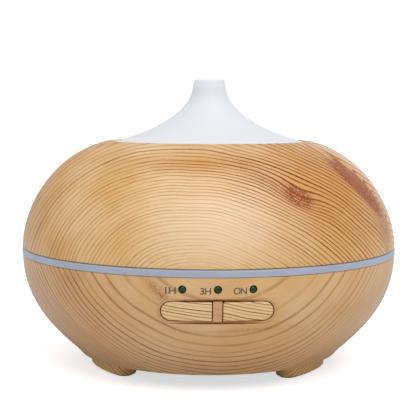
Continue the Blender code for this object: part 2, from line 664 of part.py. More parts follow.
make_cover()
make_base_shell()
make_light_ring()
make_keys()
make_indicator_lights()
make_tank()
make_transducer()
make_bottom_cover()
make_feet()
make_light_board()
make_main_board()
make_fan()
make_power_inlet()
make_leads()
bpy.context.view_layer.update()
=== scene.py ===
"""Looks of the essential oil diffuser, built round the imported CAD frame.

Sizes are in metres unless a name ends in _MM.  The frame's +Z is up and the panel faces -Y.
"""

import math

import bmesh
import bpy
from mathutils import Matrix, Vector


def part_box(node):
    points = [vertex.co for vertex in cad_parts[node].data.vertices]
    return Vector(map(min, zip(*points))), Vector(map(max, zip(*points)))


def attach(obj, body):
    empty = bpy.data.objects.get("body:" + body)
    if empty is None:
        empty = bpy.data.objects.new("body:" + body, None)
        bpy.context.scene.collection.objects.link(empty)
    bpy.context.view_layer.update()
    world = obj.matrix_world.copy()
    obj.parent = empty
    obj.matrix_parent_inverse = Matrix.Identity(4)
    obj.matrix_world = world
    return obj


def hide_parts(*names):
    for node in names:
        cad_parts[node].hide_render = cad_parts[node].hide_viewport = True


bpy.context.scene.view_settings.view_transform = "Standard"
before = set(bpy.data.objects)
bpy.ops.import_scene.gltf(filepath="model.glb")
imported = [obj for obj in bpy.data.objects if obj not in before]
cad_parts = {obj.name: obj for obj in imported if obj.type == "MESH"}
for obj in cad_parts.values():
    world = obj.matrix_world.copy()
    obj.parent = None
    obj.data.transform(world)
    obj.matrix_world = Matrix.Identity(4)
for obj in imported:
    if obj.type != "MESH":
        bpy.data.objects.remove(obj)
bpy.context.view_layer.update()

MM = 0.001


def box_mm(node):
    """A node's lowest and highest corners in millimetres."""
    low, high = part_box(node)
    return low / MM, high / MM


BASE_LOW, BASE_HIGH = box_mm("base_shell")
COVER_LOW, COVER_HIGH = box_mm("top_shell")
STRIP_LOW, STRIP_HIGH = box_mm("light_ring")
BODY_RADIUS = BASE_HIGH.x
BODY_BOTTOM = BASE_LOW.z
BODY_BOTTOM_RADIUS = 58.66
SEAM_LOW = BASE_HIGH.z
COVER_EDGE = COVER_LOW.z
RIM_HEIGHT = COVER_HIGH.z
RIM_RADIUS = 45.4
TOTAL_HEIGHT = box_mm("spout_cone")[1].z
WALL = 2.4
SPOUT_WALL = 2.0
SHELL_STEPS = 256              # steps round the outer shells
INNER_STEPS = 160              # steps round the liner and the tank

# the panel, the lamps and the power inlet's well, where the CAD has them
PANEL_HALF_WIDTH = 22.3
PANEL_LOW = 32.4
PANEL_HIGH = 40.9
PANEL_MIDDLE = (PANEL_LOW + PANEL_HIGH) / 2.0
BRIDGE_HALF_WIDTH = 1.8
KEY_GAP = 0.35
BEZEL_WIDTH = 1.0
BEZEL_GAP = 0.05
LAMP_AZIMUTHS = {"1h": -9.42, "3h": 0.0, "on": 9.42}
LAMP_HEIGHT = 45.65
LAMP_RADIUS = 1.5
LABEL_LOW = 43.75
LABEL_HIGH = 46.45
INK_STANDS_PROUD = 0.03
KEY_BACK = -75.6               # back of a key cap and front of its flange, along Y
KEY_FLANGE_BACK = -74.0
WELL_HEIGHT = 17.0
WELL_RADIUS = 6.2
WELL_FLOOR = 62.2

# the air tower and the feet
TOWER = (34.0, -1.0)
FOOT_AZIMUTHS = (-64.2, 55.8, 175.8)
FOOT_INNER = 44.0
FOOT_OUTER = 54.0
FOOT_HALF_ANGLE = 20.0
DEGREES_PER_MM = 1.2           # angle that a millimetre takes up along a foot


# ---- curves and profiles
def bezier(start, first, second, end, count):
    """count points of a cubic (radius, height) curve, both ends included."""
    points = []
    for i in range(count):
        t = i / (count - 1)
        weights = ((1 - t) ** 3, 3 * (1 - t) ** 2 * t, 3 * (1 - t) * t * t, t ** 3)
        points.append(tuple(sum(w * p[k] for w, p in zip(weights, (start, first, second, end)))
                            for k in range(2)))
    return points


def inset(points, distance):
    """A profile that runs down an outer side, moved inwards."""
    moved = []
    for i, (r, z) in enumerate(points):
        before = Vector(points[max(i - 1, 0)])
        after = Vector(points[min(i + 1, len(points) - 1)])
        along = (after - before).normalized()
        moved.append((r + along.y * distance, z - along.x * distance))
    return moved


def rounded(points, radius, steps=4):
    """A closed profile with each listed corner (r, z, True) rounded; other points are kept."""
    result = []
    count = len(points)
    for i, point in enumerate(points):
        if len(point) < 3 or not point[2]:
            result.append((point[0], point[1]))
            continue
        corner = Vector(point[:2])
        before = Vector(points[i - 1][:2]) - corner
        after = Vector(points[(i + 1) % count][:2]) - corner
        reach = min(radius, before.length * 0.45, after.length * 0.45)
        start = corner + before.normalized() * reach
        end = corner + after.normalized() * reach
        for k in range(steps + 1):
            t = k / steps
            spot = start * (1 - t) ** 2 + corner * 2 * (1 - t) * t + end * t * t
            result.append((spot.x, spot.y))
    return result


BASE_OUTLINE = bezier((BODY_RADIUS, SEAM_LOW), (BODY_RADIUS, 24.0), (62.4, 11.5),
                      (BODY_BOTTOM_RADIUS, BODY_BOTTOM), 56)
COVER_OUTLINE = bezier((RIM_RADIUS, RIM_HEIGHT), (71.4, 94.4), (BODY_RADIUS, 69.5),
                       (BODY_RADIUS, COVER_EDGE + 0.25), 64)
SPOUT_OUTLINE = bezier((6.6, 126.0), (9.1, 124.4), (2.6, 110.9), (44.1, 99.3), 56)


def base_radius(z):
    """Outer radius of the base shell at a height."""
    for (r1, z1), (r2, z2) in zip(BASE_OUTLINE, BASE_OUTLINE[1:]):
        if z2 <= z <= z1:
            return r2 + (r1 - r2) * (z - z2) / (z1 - z2)
    return BODY_RADIUS if z > SEAM_LOW else BODY_BOTTOM_RADIUS


# ---- meshes
def link(name, data):
    """A new object in the scene."""
    thing = bpy.data.objects.new(name, data)
    bpy.context.scene.collection.objects.link(thing)
    return thing


def evaluated_mesh(thing):
    """The mesh that an object shows, with its modifiers or as text."""
    bpy.context.view_layer.update()
    return bpy.data.meshes.new_from_object(thing.evaluated_get(bpy.context.evaluated_depsgraph_get()))


def add(name, verts, faces, sharp=35.0):
    """A mesh piece from points in millimetres."""
    mesh = bpy.data.meshes.new(name)
    mesh.from_pydata([(x * MM, y * MM, z * MM) for x, y, z in verts], [], faces)
    mesh.validate()
    piece = link(name, mesh)
    smooth(piece, sharp)
    return piece


def lathe(name, profile, steps, centre=(0.0, 0.0), sharp=35.0):
    """A closed profile turned about a vertical axis; its ends may lie on the axis."""
    on_axis = abs(profile[0][0]) < 1e-6 and abs(profile[-1][0]) < 1e-6
    verts = []
    rows = []
    for r, z in profile:
        if abs(r) < 1e-6:
            rows.append([len(verts)] * steps)
            verts.append((centre[0], centre[1], z))
            continue
        row = []
        for i in range(steps):
            angle = 2.0 * math.pi * i / steps
            row.append(len(verts))
            verts.append((centre[0] + r * math.cos(angle), centre[1] + r * math.sin(angle), z))
        rows.append(row)
    faces = []
    pairs = list(zip(rows, rows[1:]))
    if not on_axis:
        pairs.append((rows[-1], rows[0]))
    for upper, lower in pairs:
        for i in range(steps):
            j = (i + 1) % steps
            corners = [upper[i], lower[i], lower[j], upper[j]]
            unique = [c for k, c in enumerate(corners) if c not in corners[:k]]
            if len(unique) > 2:
                faces.append(unique)
    return add(name, verts, faces, sharp)


def bands(rings, count, wrap=False):
    """Faces between rings of count points; with wrap, from the last ring to the first too."""
    faces = []
    for k in range(rings if wrap else rings - 1):
        n = (k + 1) % rings
        for i in range(count):
            j = (i + 1) % count
            faces.append([k * count + i, k * count + j, n * count + j, n * count + i])
    return faces


def solid(name, verts, count, sharp):
    """A closed solid from rings of count points each, with flat ends."""
    faces = bands(len(verts) // count, count)
    faces.append(list(range(count)))
    faces.append(list(range(len(verts) - 1, len(verts) - count - 1, -1)))
    piece = add(name, verts, faces, sharp)
    outwards(piece)
    return piece


def rod(name, radius, start, end, steps=32):
    """A plain cylinder between two points, for cutting."""
    start = Vector(start) * MM
    end = Vector(end) * MM
    mesh = bpy.data.meshes.new(name)
    shape = bmesh.new()
    bmesh.ops.create_cone(shape, cap_ends=True, segments=steps, radius1=radius * MM,
                          radius2=radius * MM, depth=(end - start).length)
    turn = (end - start).to_track_quat("Z", "Y").to_matrix().to_4x4()
    shape.transform(Matrix.Translation((start + end) / 2.0) @ turn)
    shape.to_mesh(mesh)
    shape.free()
    return link(name, mesh)


def prism(name, outline, low, high):
    """An (x, z) outline given thickness along Y."""
    verts = [(x, y, z) for y in (low, high) for x, z in outline]
    return solid(name, verts, len(outline), 35.0)


def smooth(piece, sharp=35.0):
    """Shade a piece smooth, with sharp edges above an angle."""
    piece.data.shade_smooth()
    piece.data.set_sharp_from_angle(angle=math.radians(sharp))


def outwards(piece):
    """Turn a closed mesh's faces outwards."""
    shape = bmesh.new()
    shape.from_mesh(piece.data)
    bmesh.ops.recalc_face_normals(shape, faces=shape.faces)
    shape.to_mesh(piece.data)
    shape.free()


def boolean(piece, cutters, operation="DIFFERENCE"):
    """Apply exact Booleans and remove the cutters."""
    for cutter in cutters:
        step = piece.modifiers.new("Cut", "BOOLEAN")
        step.operation = operation
        step.object = cutter
        step.solver = "EXACT"
    result = evaluated_mesh(piece)
    piece.modifiers.clear()
    old = piece.data
    piece.data = result
    bpy.data.meshes.remove(old)
    for cutter in cutters:
        bpy.data.objects.remove(cutter, do_unlink=True)
    return piece


def follow_turned_form(piece, radius_at, tolerance=0.02):
    """Give the faces that lie on a turned outer surface the normals of that surface."""
    mesh = piece.data
    smooth(piece, 30.0)
    normals = [Vector(c.vector) for c in mesh.corner_normals]
    step = 0.05
    for face in mesh.polygons:
        spots = [mesh.vertices[i].co / MM for i in face.vertices]
        if any(abs(math.hypot(p.x, p.y) - radius_at(p.z)) > tolerance for p in spots):
            continue
        for corner, p in zip(face.loop_indices, spots):
            slope = (radius_at(p.z + step) - radius_at(p.z - step)) / (2.0 * step)
            normals[corner] = Vector((p.x, p.y, -slope * math.hypot(p.x, p.y))).normalized()
    mesh.normals_split_custom_set(normals)


def around(azimuth, radius):
    """The (x, y) at an azimuth counted from the panel towards +X."""
    angle = math.radians(azimuth)
    return radius * math.sin(angle), -radius * math.cos(angle)


# ---- material building blocks
def srgb(*values):
    """Linear colour from 8-bit display values."""
    linear = []
    for value in values:
        c = value / 255.0
        linear.append(c / 12.92 if c <= 0.04045 else ((c + 0.055) / 1.055) ** 2.4)
    return tuple(linear)


class Net:
    """Short calls for building one material's nodes."""

    def __init__(self, name):
        self.material = bpy.data.materials.new(name)
        self.material.use_nodes = True
        self.tree = self.material.node_tree
        self.shader = self.tree.nodes["Principled BSDF"]
        self.place = self.vector("SCALE", self.node("TexCoord").outputs["Object"], scale=1.0 / MM)

    def put(self, socket, value):
        if isinstance(value, bpy.types.NodeSocket):
            self.tree.links.new(value, socket)
        elif isinstance(value, (tuple, list)) and len(value) == 3 and socket.type == "RGBA":
            socket.default_value = (*value, 1.0)
        else:
            socket.default_value = value

    def math(self, operation, a, b=None, c=None, clamp=False):
        node = self.node("Math")
        node.operation = operation
        node.use_clamp = clamp
        for socket, value in zip(node.inputs, (a, b, c)):
            if value is not None:
                self.put(socket, value)
        return node.outputs[0]

    def times(self, a, b, clamp=False):
        return self.math("MULTIPLY", a, b, clamp=clamp)

    def plus(self, a, b):
        return self.math("ADD", a, b)

    def minus(self, a, b):
        return self.math("SUBTRACT", a, b)

    def node(self, kind, **inputs):
        """A new node with inputs set by name."""
        node = self.tree.nodes.new("ShaderNode" + kind)
        for name, value in inputs.items():
            self.put(node.inputs[name.replace("_", " ")], value)
        return node

    def vector(self, operation, a, b=None, scale=None):
        node = self.node("VectorMath")
        node.operation = operation
        self.put(node.inputs[0], a)
        if b is not None:
            self.put(node.inputs[1], b)
        if scale is not None:
            self.put(node.inputs["Scale"], scale)
        return node.outputs["Value" if operation == "DOT_PRODUCT" else "Vector"]

    def split(self, vector):
        return tuple(self.node("SeparateXYZ", Vector=vector).outputs)

    def join(self, x, y, z):
        return self.node("CombineXYZ", X=x, Y=y, Z=z).outputs[0]

    def noise(self, vector, scale, detail=2.0, colour=False, roughness=0.5):
        node = self.node("TexNoise", Vector=vector, Scale=scale, Detail=detail, Roughness=roughness)
        return node.outputs["Color" if colour else "Fac"]

    def white(self, value):
        node = self.node("TexWhiteNoise")
        node.noise_dimensions = "1D"
        self.put(node.inputs["W"], value)
        return node.outputs["Value"]

    def smooth(self, value, low, high):
        """0 below low, 1 above high, smooth between."""
        node = self.node("MapRange", Value=value, From_Min=low, From_Max=high)
        node.interpolation_type = "SMOOTHSTEP"
        return node.outputs["Result"]

    def mix(self, factor, a, b):
        node = self.node("Mix")
        node.data_type = "RGBA"
        for name, value in (("Factor", factor), ("A", a), ("B", b)):
            self.put(node.inputs[name], value)
        return node.outputs["Result"]

    def blob(self, centre, reach, axes=None):
        """A soft bump of height 1 at a point; reach is its half-size along each axis."""
        offset = self.vector("SUBTRACT", self.place, centre)
        axes = axes or ((1, 0, 0), (0, 1, 0), (0, 0, 1))
        total = None
        for axis, size in zip(axes, reach):
            distance = self.vector("DOT_PRODUCT", offset, Vector(axis).normalized())
            along = self.math("DIVIDE", distance, size)
            square = self.times(along, along)
            total = square if total is None else self.plus(total, square)
        return self.math("EXPONENT", self.times(total, -1.0))

    def bump(self, height, distance, strength=1.0):
        node = self.node("Bump", Height=height, Distance=distance, Strength=strength)
        self.put(self.shader.inputs["Normal"], node.outputs["Normal"])

    def finish(self, **settings):
        for name, value in settings.items():
            self.put(self.shader.inputs[name.replace("_", " ")], value)
        return self.material


# ---- wood-grain film
PALE = srgb(240, 205, 154)
HONEY = srgb(224, 176, 104)
AMBER = srgb(206, 140, 56)
LINE = srgb(168, 90, 22)
DEEP_LINE = srgb(126, 50, 4)
RED_BROWN = srgb(150, 62, 12)
PINK_TAN = srgb(206, 156, 112)
# painted shade: the darker amber laid on the cover's left flank
PAINTED_FLANK_SHADE = srgb(184, 126, 56)
# painted shade: the darker pinkish brown laid on the lower part of the base shell
PAINTED_LOW_SHADE = srgb(182, 138, 104)


def wood(name, centre, period, squeeze=(1.0, 1.0), roundness=2.0, flatten=0.0, spread=None,
         features=None, warp=1.0, unevenness=1.0, shade=(), bold=(), strength=1.0, line_width=1.0):
    """Printed pine grain: rings about an axis along Y that drifts sideways towards the rear.

    centre is the rings' (x, z), period their distance in millimetres and squeeze the sideways scale
    on their left and right.  A roundness below 2 straightens the rings on the right, and flatten
    widens the innermost ones.  spread, if given, is (radius, power): the rings crowd together
    outwards, and the lines inside are fainter.  features adds knots and stains.  warp bends the
    rings, and unevenness varies the distance between them.  shade lists soft patches
    (spot, reach, amount, colour), and bold lists patches (spot, reach, amount) that strengthen or
    weaken the lines.
    """
    net = Net(name)
    slow = net.vector("SUBTRACT", net.noise(net.place, 1 / 46, 1.0, colour=True), (0.5, 0.5, 0.5))
    quick = net.vector("SUBTRACT", net.noise(net.place, 1 / 13, 1.0, colour=True), (0.5, 0.5, 0.5))
    bent = net.vector("ADD", net.place, net.vector("SCALE", slow, scale=4.0 * warp))
    bent = net.vector("ADD", bent, net.vector("SCALE", quick, scale=0.5 * warp))
    x, y, z = net.split(bent)
    drift = net.times(net.smooth(y, 0.0, 90.0), 34.0)
    across = net.minus(net.plus(x, drift), centre[0])
    up = net.minus(net.plus(z, net.times(drift, 0.3)), centre[1])
    side = net.smooth(across, -14.0, 14.0)
    scale = net.plus(squeeze[0], net.times(side, squeeze[1] - squeeze[0]))
    across = net.times(across, scale)
    if flatten:
        size = net.math("ABSOLUTE", across)
        across = net.times(across, net.math("DIVIDE", size, net.plus(size, flatten)))
    power = net.plus(2.0, net.times(side, roundness - 2.0))
    total = net.plus(net.math("POWER", net.math("ABSOLUTE", across), power),
                     net.math("POWER", net.math("ABSOLUTE", up), power))
    radius = net.math("POWER", total, net.math("DIVIDE", 1.0, power))
    angle = net.math("ARCTAN2", up, across)
    redness = None
    if features:
        radius, redness = features(net, radius)
    jitter = net.minus(net.noise(net.place, 0.7, 2.0), 0.5)
    radius = net.plus(radius, net.times(jitter, 0.30))

    if spread:
        reach, growth = spread
        rings = net.times(net.math("POWER", net.math("DIVIDE", radius, reach), growth),
                          reach / (growth * period))
    else:
        rings = net.math("DIVIDE", radius, period)
    drifted = net.noise(net.join(net.times(radius, 0.17), 0.0, 0.0), 1.0, 1.0)
    rings = net.plus(rings, net.times(drifted, unevenness))

    part = net.math("FRACT", rings)
    number = net.math("FLOOR", rings)
    start = 0.86 - 0.56 * line_width
    rise = net.smooth(part, start, 0.86)
    fall = net.smooth(part, 0.90, 1.0)
    line = net.times(net.math("POWER", rise, 1.6), net.minus(1.0, fall))
    own = net.white(number)
    boldness = net.plus(0.38, net.times(own, 0.62))
    along = net.join(net.times(rings, 1.7), net.times(angle, 8.0), net.times(y, 0.05))
    broken = net.smooth(net.noise(along, 1.0, 3.0, roughness=0.65), 0.25, 0.60)
    line = net.times(net.times(line, boldness), net.plus(0.55, net.times(broken, 0.45)))
    line = net.times(line, strength)
    if spread:
        grown = net.plus(0.4, net.times(net.smooth(radius, 50.0, 70.0), 0.6))
        line = net.times(line, grown)
    for spot, reach, amount in bold:
        line = net.times(line, net.plus(1.0, net.times(net.blob(spot, reach), amount)))

    fibre_place = net.join(net.times(radius, 3.2), net.times(angle, 6.0), net.times(y, 0.12))
    fibre = net.noise(fibre_place, 1.0, 3.0, roughness=0.6)
    cloud = net.noise(net.place, 1 / 30, 2.0)
    ground = net.mix(net.smooth(cloud, 0.30, 0.72), PALE, HONEY)
    ground = net.mix(net.times(net.smooth(fibre, 0.35, 0.75), 0.5), ground, AMBER)
    # some shade patches are the film's own tone, others are painted shade or a painted highlight
    for spot, reach, amount, colour in shade:
        ground = net.mix(net.times(net.blob(spot, reach), amount), ground, colour)
    late = net.mix(net.white(net.plus(number, 0.37)), LINE, DEEP_LINE)
    colour = net.mix(net.times(line, 0.9, clamp=True), ground, late)
    if redness is not None:
        speckle = net.smooth(net.noise(net.place, 1.2, 3.0, roughness=0.8), 0.42, 0.58)
        stain = net.times(redness, net.plus(0.30, net.times(speckle, 0.70)))
        colour = net.mix(net.times(stain, 1.0, clamp=True), colour, RED_BROWN)
    gloss = net.plus(0.33, net.times(fibre, 0.10))
    net.bump(net.plus(net.times(line, -1.0), net.times(fibre, 0.4)), 0.00002, 0.3)
    return net.finish(Base_Color=colour, Roughness=gloss, IOR=1.42, Specular_IOR_Level=0.38,
                      Coat_Weight=0.12, Coat_Roughness=0.12)


def knot(net, radius, redness, centre, along, length, width, height, stain):
    """Bend the rings round a knot by height millimetres and colour its heart."""
    axis = Vector(along).normalized()
    normal = Vector((centre[0], centre[1], 0.0)).normalized()
    third = axis.cross(normal)
    axes = (axis, third, normal)
    bump = net.blob(centre, (length, width, 30.0), axes)
    heart = net.smooth(net.blob(centre, (length * 0.68, width * 0.78, 30.0), axes), 0.22, 0.72)
    radius = net.plus(radius, net.times(bump, height))
    redness = net.plus(redness, net.times(heart, stain))
    return radius, redness


def cover_features(net, radius):
    """The small knot and the long burl on the right of the cover, and a second knot at the rear."""
    redness = 0.0
    for centre, along, length, width, height, stain in (
            ((32.6, -67.0, 80.0), (11.7, 0.0, -6.8), 11.0, 6.0, 2.9, 0.75),
            ((-41.0, 60.0, 82.0), (10.0, 4.0, 5.0), 9.0, 4.0, 4.5, 0.9),
            ((69.0, -37.0, 72.0), (17.0, 3.0, -34.0), 25.0, 4.4, 8.0, 0.0)):
        radius, redness = knot(net, radius, redness, centre, along, length, width, height, stain)
    trail_axes = ((11.7, 0.0, -6.0), (6.0, 0.0, 11.7), (0, 1, 0))
    trail = net.blob((27.0, -68.0, 83.0), (20.0, 3.6, 30.0), trail_axes)
    redness = net.plus(redness, net.times(trail, 0.4))
    slant = Vector((17.5, 2.0, -16.0)).normalized()
    outward = Vector((0.72, -0.46, 0.52)).normalized()
    axes = (slant, slant.cross(outward), outward)
    burl = net.smooth(net.blob((61.0, -38.5, 83.5), (17.0, 7.2, 14.0), axes), 0.20, 0.60)
    redness = net.plus(redness, net.times(burl, 1.3))
    tail = net.blob((73.0, -36.0, 66.0), (7.0, 9.0, 16.0))
    redness = net.plus(redness, net.times(tail, 0.65))
    return radius, redness


def base_features(net, radius):
    """The reddish streaks at the upper left of the panel, under it and on the left flank."""
    falling = ((1.0, 0.0, -0.95), (0, 1, 0), (0.95, 0.0, 1.0))
    streak = net.blob((-22.2, -80.0, 43.6), (9.0, 14.0, 1.9), falling)
    rising = ((1.0, 0.0, 0.05), (0, 1, 0), (-0.05, 0.0, 1.0))
    lower = net.blob((10.0, -76.0, 28.5), (16.0, 20.0, 0.9), rising)
    flank = net.blob((-57.0, -60.0, 47.0), (7.0, 9.0, 4.0))
    total = net.plus(streak, net.times(lower, 0.6))
    total = net.plus(total, net.times(flank, 0.5))
    return radius, net.times(total, 0.75)


EVERYWHERE = (400.0, 400.0, 400.0)
ALL_OF_IT = (200.0, 200.0, 200.0)
PANEL_SPOT = (0.0, -80.0, 36.0)
WOOD_COVER = wood("wood_film_cover", (-8.0, 44.0), 1.28, squeeze=(0.84, 0.63), roundness=1.4,
                  flatten=4.0, features=cover_features, unevenness=1.6, line_width=0.7,
                  bold=[((0.0, -80.0, 62.0), (32.0, 60.0, 18.0), -0.75),
                        ((-4.0, -60.0, 92.5), (34.0, 60.0, 2.2), 1.1),
                        ((48.0, -54.0, 82.0), (34.0, 50.0, 28.0), 2.4),
                        ((24.0, -68.0, 85.0), (15.0, 30.0, 6.0), 1.4)],
                  # painted highlight: paler pink at the middle front of the cover, where a soft sheen
                  # falls
                  shade=[((6.0, -78.0, 71.0), (34.0, 60.0, 17.0), 0.75, srgb(246, 214, 178)),
                         ((52.0, -50.0, 84.0), (30.0, 45.0, 26.0), 0.75, AMBER),
                         ((-6.0, -60.0, 93.0), (34.0, 60.0, 3.0), 0.5, AMBER),
                         # painted shade: darker amber on the cover's left flank, the side that gets less
                         # light
                         ((-84.0, -10.0, 70.0), (26.0, 60.0, 40.0), 0.5, PAINTED_FLANK_SHADE)])
WOOD_BASE = wood("wood_film_base", (2.0, 81.0), 4.37, spread=(57.0, 4.5), features=base_features,
                 strength=1.5, unevenness=0.7, line_width=0.36,
                 bold=[((2.0, -78.0, 24.5), (30.0, 40.0, 3.5), -0.55),
                       ((70.0, -60.0, 30.0), (34.0, 60.0, 30.0), -0.6)],
                 shade=[((0.0, 0.0, 40.0), EVERYWHERE, 0.35, srgb(214, 168, 124)),
                        # painted shade: darker pinkish brown towards the bottom of the base shell and on
                        # its lower left and right flanks
                        ((0.0, -50.0, 0.0), (140.0, 140.0, 25.0), 0.28, PAINTED_LOW_SHADE),
                        ((-84.0, -20.0, 24.0), (44.0, 70.0, 30.0), 0.6, PAINTED_LOW_SHADE),
                        ((84.0, -20.0, 24.0), (40.0, 70.0, 26.0), 0.4, PAINTED_LOW_SHADE)])
WOOD_KEYS = wood("wood_film_keys", (-52.0, -260.0), 1.4, warp=2.2, strength=1.35, line_width=0.75,
                 unevenness=1.6, shade=[(PANEL_SPOT, ALL_OF_IT, 0.7, srgb(246, 212, 158))])
WOOD_BEZEL = wood("wood_film_bezel", (-4.0, -220.0), 2.6, warp=0.4, strength=0.3,
                  shade=[(PANEL_SPOT, ALL_OF_IT, 0.7, PINK_TAN)])
WOOD_FEET = wood("wood_film_feet", (0.0, 56.0), 1.5, warp=1.6, strength=0.9, unevenness=0.8,
                 # painted light: a paler colour over all of the feet that makes up for the shade under
                 # the body
                 shade=[((0.0, 0.0, 3.0), ALL_OF_IT, 0.8, srgb(250, 200, 134))])


# ---- other materials
def moulded(name, colour, roughness, grain=0.5, mottle=0.06, depth=0.00001, **more):
    """Moulded plastic or rubber: fine surface texture and slight unevenness of colour."""
    net = Net(name)
    fine = net.noise(net.place, 4.0, 3.0, roughness=0.65)
    cloud = net.noise(net.place, 1 / 14, 3.0)
    darker = tuple(c * (1.0 - 2.5 * mottle) for c in colour)
    tone = net.mix(net.smooth(cloud, 0.3, 0.7), colour, darker)
    tone = net.mix(net.times(fine, grain * mottle * 2.0), tone, (0.0, 0.0, 0.0))
    rough = net.plus(roughness, net.times(net.minus(fine, 0.5), 0.12))
    net.bump(fine, depth, 0.5)
    return net.finish(Base_Color=tone, Roughness=rough, **more)


def metal(name, colour, roughness, stretch=(0.3, 6.0, 6.0)):
    """Metal with fine drawing marks along X."""
    net = Net(name)
    lines = net.noise(net.vector("MULTIPLY", net.place, stretch), 1.0, 3.0, roughness=0.6)
    cloud = net.noise(net.place, 1 / 6, 2.0)
    tone = net.mix(net.times(lines, 0.35), colour, tuple(c * 0.7 for c in colour))
    tone = net.mix(net.times(cloud, 0.12), tone, (0.1, 0.1, 0.1))
    rough = net.plus(roughness, net.times(net.minus(lines, 0.5), 0.2))
    net.bump(lines, 0.00001, 0.4)
    return net.finish(Base_Color=tone, Roughness=rough, Metallic=1.0)


def board_material():
    """Green solder mask with copper tracks under it and small pads."""
    net = Net("solder_mask")
    cell = net.node("TexBrick", Vector=net.vector("SCALE", net.place, scale=0.22), Scale=1.0,
                    Color1=(0.0, 0.0, 0.0), Color2=(0.0, 0.0, 0.0), Mortar=(1.0, 1.0, 1.0),
                    Mortar_Size=0.05)
    tracks = cell.outputs["Color"]
    dots = net.node("TexVoronoi", Vector=net.place, Scale=0.45)
    pads = net.minus(1.0, net.smooth(dots.outputs["Distance"], 0.16, 0.22))
    cloud = net.noise(net.place, 1 / 9, 2.0)
    green = net.mix(cloud, srgb(18, 92, 48), srgb(12, 70, 38))
    tone = net.mix(net.times(tracks, 0.5), green, srgb(46, 128, 70))
    tone = net.mix(pads, tone, srgb(190, 190, 184))
    net.bump(pads, 0.00004, 0.5)
    return net.finish(Base_Color=tone, Roughness=0.38)


def spout_material():
    """Matte translucent white plastic with a faint blue tint."""
    net = Net("white_spout")
    fine = net.noise(net.place, 5.0, 2.0)
    cloud = net.noise(net.place, 1 / 20, 2.0)
    tone = net.mix(cloud, srgb(240, 242, 250), srgb(235, 239, 248))
    rough = net.plus(0.42, net.times(fine, 0.08))
    net.bump(fine, 0.000008, 0.4)
    return net.finish(Base_Color=tone, Roughness=rough, Subsurface_Weight=0.35,
                      Subsurface_Radius=(0.006, 0.006, 0.007), Subsurface_Scale=1.0, IOR=1.48)


def lens_material():
    """Dark green tinted epoxy of the indicator lamps."""
    net = Net("green_lens")
    cloud = net.noise(net.place, 0.9, 2.0)
    tone = net.mix(cloud, srgb(6, 48, 18), srgb(14, 68, 26))
    return net.finish(Base_Color=tone, Roughness=0.15, Specular_IOR_Level=0.35)


SPOUT = spout_material()
INNER = moulded("white_inner", srgb(234, 236, 236), 0.36, mottle=0.02, Subsurface_Weight=0.1,
                Subsurface_Radius=(0.003, 0.003, 0.003), Subsurface_Scale=1.0)
STRIP = moulded("light_strip", srgb(176, 184, 200), 0.38, mottle=0.03, Subsurface_Weight=0.15,
                Subsurface_Radius=(0.002, 0.002, 0.003), Subsurface_Scale=1.0)
LENS = lens_material()
GREY_BASE = moulded("grey_base", srgb(70, 70, 74), 0.62, mottle=0.08, depth=0.00003)
RUBBER = moulded("rubber", srgb(40, 40, 42), 0.82, mottle=0.10, depth=0.00003)
BOARD = board_material()
BLACK = moulded("black_plastic", srgb(28, 28, 30), 0.48, mottle=0.10)
LABEL = moulded("label_ink", srgb(108, 88, 76), 0.5, mottle=0.05)
ALUMINIUM = metal("aluminium", srgb(205, 206, 210), 0.34)
STEEL = metal("steel", srgb(176, 177, 182), 0.32)
BRASS = metal("brass", srgb(206, 174, 104), 0.30)
COPPER = metal("copper", srgb(186, 106, 66), 0.36, stretch=(0.4, 0.4, 7.0))
PHOSPHOR = moulded("white_led", srgb(236, 226, 150), 0.4, mottle=0.08)
WIRE_RED = moulded("wire_red", srgb(168, 30, 28), 0.45, mottle=0.08)
WIRE_BLACK = moulded("wire_black", srgb(34, 34, 36), 0.45, mottle=0.08)
WIRE_WHITE = moulded("wire_white", srgb(222, 222, 218), 0.45, mottle=0.06)


def paint(piece, material):
    """Make this the piece's only material."""
    piece.data.materials.clear()
    piece.data.materials.append(material)
    return piece


def show(piece, body, material, slot, *nodes):
    """Finish a visible piece: material, body and the CAD nodes it stands for; slot is not used."""
    paint(piece, material)
    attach(piece, body)
    if nodes:
        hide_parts(*nodes)
    return piece


